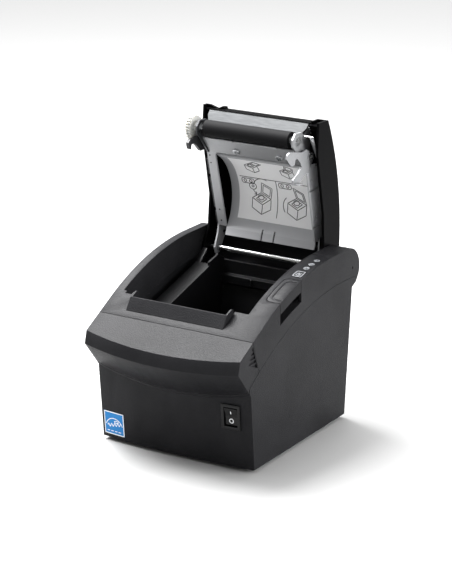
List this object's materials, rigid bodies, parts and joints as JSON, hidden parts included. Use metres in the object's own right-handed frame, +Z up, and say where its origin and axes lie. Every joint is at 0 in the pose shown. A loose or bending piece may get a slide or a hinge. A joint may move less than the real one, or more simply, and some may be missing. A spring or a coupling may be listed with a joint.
{
  "type": "receipt printer",
  "caption": "Desktop thermal receipt printer with a drop-in paper well and a hinged lid standing open, showing its platen, gear, latches and guide.",
  "frame": {"origin": "on the counter, under the middle of the case's width, at the middle of the object's length", "axes": "+X to the right as seen from the front, front towards -Y, +Z up"},
  "size_m": [0.145, 0.1975, 0.2523],
  "materials": {
    "case_plastic": "fine spark-eroded texture",
    "panel_plastic": "fine texture",
    "base_plastic": "plain",
    "rubber": "matt",
    "zinc_steel": "zinc plated",
    "bright_steel": "ground",
    "brushed_bar": "brushed",
    "black_sheet": "black finish",
    "bucket_plastic": "smooth",
    "lid_plastic": "smooth",
    "liner_plastic": "smooth",
    "black_plastic": "smooth",
    "label_silver": "printed film",
    "label_blue": "printed film",
    "strip_plastic": "satin",
    "lens_plastic": "tinted",
    "rocker_plastic": "satin",
    "gear_plastic": "natural acetal",
    "platen_rubber": "ground",
    "ceramic": "glazed",
    "aluminium": "milled",
    "motor_case": "zinc",
    "board": "solder resist",
    "board_parts": "moulded",
    "port_plastic": "moulded",
    "port_metal": "tin plated",
    "brass": "turned",
    "blade_steel": "ground"
  },
  "bodies": {
    "housing": {"lower_case": "case_plastic", "base_plate": "base_plastic", "rubber_feet": "rubber", "base_screws": "zinc_steel", "top_case": "case_plastic", "paper_guard": "case_plastic", "paper_bucket": "bucket_plastic", "shaft_blocks": "black_plastic", "lid_shaft": "bright_steel", "control_strip": "strip_plastic", "status_lenses": "lens_plastic", "switch_housing": "rocker_plastic", "front_label": "label_blue", "mechanism_chassis": "black_sheet", "latch_studs": "bright_steel", "head_heatsink": "aluminium", "print_head": "ceramic", "cutter_frame": "zinc_steel", "cutter_cover": "black_sheet", "cutter_motor": "motor_case", "feed_motor": "motor_case", "idler_stud": "bright_steel", "main_board": "board", "board_parts": "board_parts", "power_inlet": "port_plastic", "drawer_jack": "port_plastic", "usb_port": "port_metal", "serial_port": "port_metal", "port_nuts": "zinc_steel"},
    "front_cover": {"front_cover": "case_plastic"},
    "cover_button": {"cover_button": "panel_plastic"},
    "feed_button": {"feed_button": "strip_plastic"},
    "power_rocker": {"power_rocker": "rocker_plastic"},
    "cutter_blade": {"cutter_blade": "blade_steel"},
    "cutter_pinion": {"cutter_pinion": "gear_plastic"},
    "idler_gear": {"idler_gear": "gear_plastic"},
    "motor_pinion": {"motor_pinion": "brass"},
    "lid": {"lid_shell": "lid_plastic", "lid_frame": "liner_plastic", "side_channel": "black_plastic", "paper_guide": "liner_plastic", "lid_label": "label_silver", "cutter_bar": "brushed_bar", "fixed_blade": "blade_steel", "bracket_left": "black_sheet", "bracket_right": "zinc_steel", "platen_bearings": "brass", "cross_plate": "brushed_bar", "lid_screws": "zinc_steel", "latch_spring": "zinc_steel", "spring_pins": "bright_steel", "hinge_arm_left": "liner_plastic", "hinge_arm_right": "zinc_steel", "side_clips": "black_plastic"},
    "platen": {"platen_roller": "platen_rubber", "platen_shaft": "bright_steel", "platen_gear": "gear_plastic"},
    "latches": {"latch_hook_right": "zinc_steel", "latch_hook_left": "black_plastic", "latch_axle": "bright_steel"}
  },
  "joints": [
    {"name": "cover_slide", "type": "slide", "parent": "housing", "child": "front_cover", "axis": [0, -1, 0], "range_m": [0, 0.014]},
    {"name": "cover_button_press", "type": "hinge", "parent": "housing", "child": "cover_button", "pos_m": [0.0655, 0.0012, 0.1358], "axis": [1, 0, 0], "range_deg": [0, 4], "stiffness_Nm_per_rad": 0.5, "springref_deg": -5.73},
    {"name": "feed_button_press", "type": "slide", "parent": "housing", "child": "feed_button", "axis": [0, 0, -1], "range_m": [0, 0.0006], "stiffness_N_per_m": 200, "springref_m": -0.001},
    {"name": "power_rocker_tilt", "type": "hinge", "parent": "housing", "child": "power_rocker", "pos_m": [0.0543, -0.07265, 0.0462], "axis": [0.9966, 0.0825, 0], "range_deg": [-14, 0]},
    {"name": "cutter_stroke", "type": "slide", "parent": "housing", "child": "cutter_blade", "axis": [0, 0.8817, 0.4718], "range_m": [0, 0.0045]},
    {"name": "cutter_pinion_turn", "type": "hinge", "parent": "housing", "child": "cutter_pinion", "pos_m": [-0.044, -0.06676, 0.09788], "axis": [0, -0.4718, 0.8817], "range_deg": [0, 54]},
    {"name": "idler_spin", "type": "hinge", "parent": "housing", "child": "idler_gear", "pos_m": [-0.059, -0.02612, 0.07695], "axis": [1, 0, 0], "continuous": true},
    {"name": "motor_spin", "type": "hinge", "parent": "housing", "child": "motor_pinion", "pos_m": [-0.059, -0.03783, 0.07149], "axis": [1, 0, 0], "continuous": true},
    {"name": "lid_hinge", "type": "hinge", "parent": "housing", "child": "lid", "pos_m": [0, 0.079, 0.1275], "axis": [1, 0, 0], "range_deg": [0, 92]},
    {"name": "platen_spin", "type": "hinge", "parent": "lid", "child": "platen", "pos_m": [-0.0055, 0.05007, 0.23898], "axis": [1, 0, 0], "continuous": true},
    {"name": "latch_turn", "type": "hinge", "parent": "lid", "child": "latches", "pos_m": [0, 0.06167, 0.22436], "axis": [-1, 0, 0], "range_deg": [0, 10], "stiffness_Nm_per_rad": 0.3, "springref_deg": -6.88}
  ],
  "couplings": [
    {"joint": "cutter_pinion_turn", "follows": "cutter_stroke", "rad_per_m": 208.33},
    {"joint": "motor_spin", "follows": "idler_spin", "ratio": -1.6667}
  ]
}
